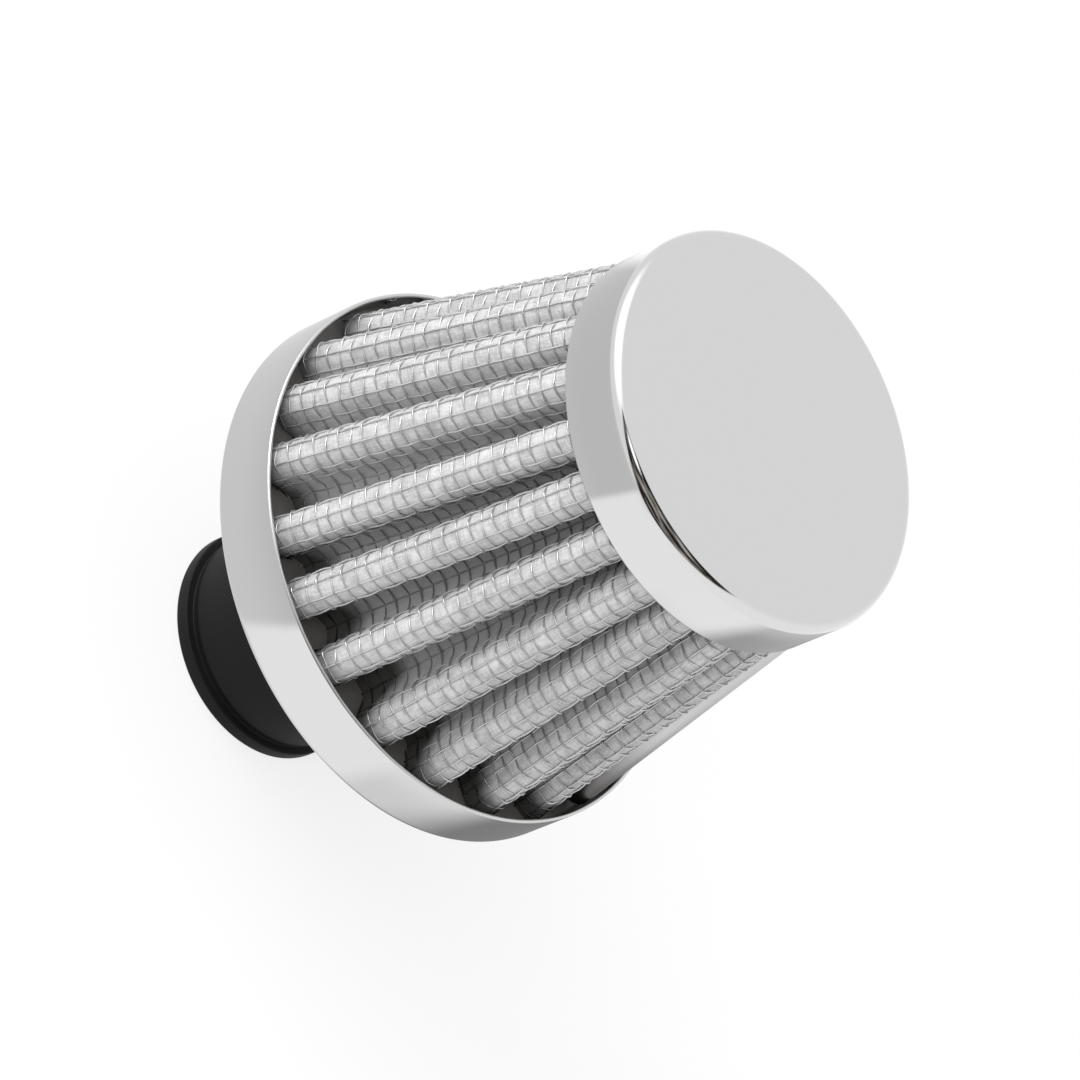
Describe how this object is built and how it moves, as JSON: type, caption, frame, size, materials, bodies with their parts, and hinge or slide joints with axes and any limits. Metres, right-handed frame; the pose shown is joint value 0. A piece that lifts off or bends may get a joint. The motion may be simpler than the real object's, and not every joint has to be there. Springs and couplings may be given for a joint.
{
  "type": "crankcase breather filter",
  "caption": "Clamp-on crankcase breather filter: tapered pleated gauze pack between wire screens, chromed cap and base cup, black rubber neck for a vent pipe.",
  "frame": {"origin": "centre of the mouth of the neck, on the plane that the filter stands on", "axes": "+Z along the axis from the mouth of the neck to the cap; +X towards the pleat beside the seam clip"},
  "size_m": [0.0508, 0.0508, 0.066],
  "materials": {
    "chrome": "bright chrome plate on pressed steel",
    "rubber": "matte moulded rubber",
    "potting": "cast black sealing compound",
    "gauze": "light grey filter gauze",
    "screen_wire": "bright drawn wire, plain weave",
    "clip": "satin crimped strip"
  },
  "bodies": {
    "root": {"end_cap": "chrome", "cap_potting": "potting", "pleated_media": "gauze", "outer_screen": "screen_wire", "inner_screen": "screen_wire", "seam_clip": "clip", "base_cup": "chrome", "base_potting": "potting", "neck": "rubber"}
  },
  "joints": []
}
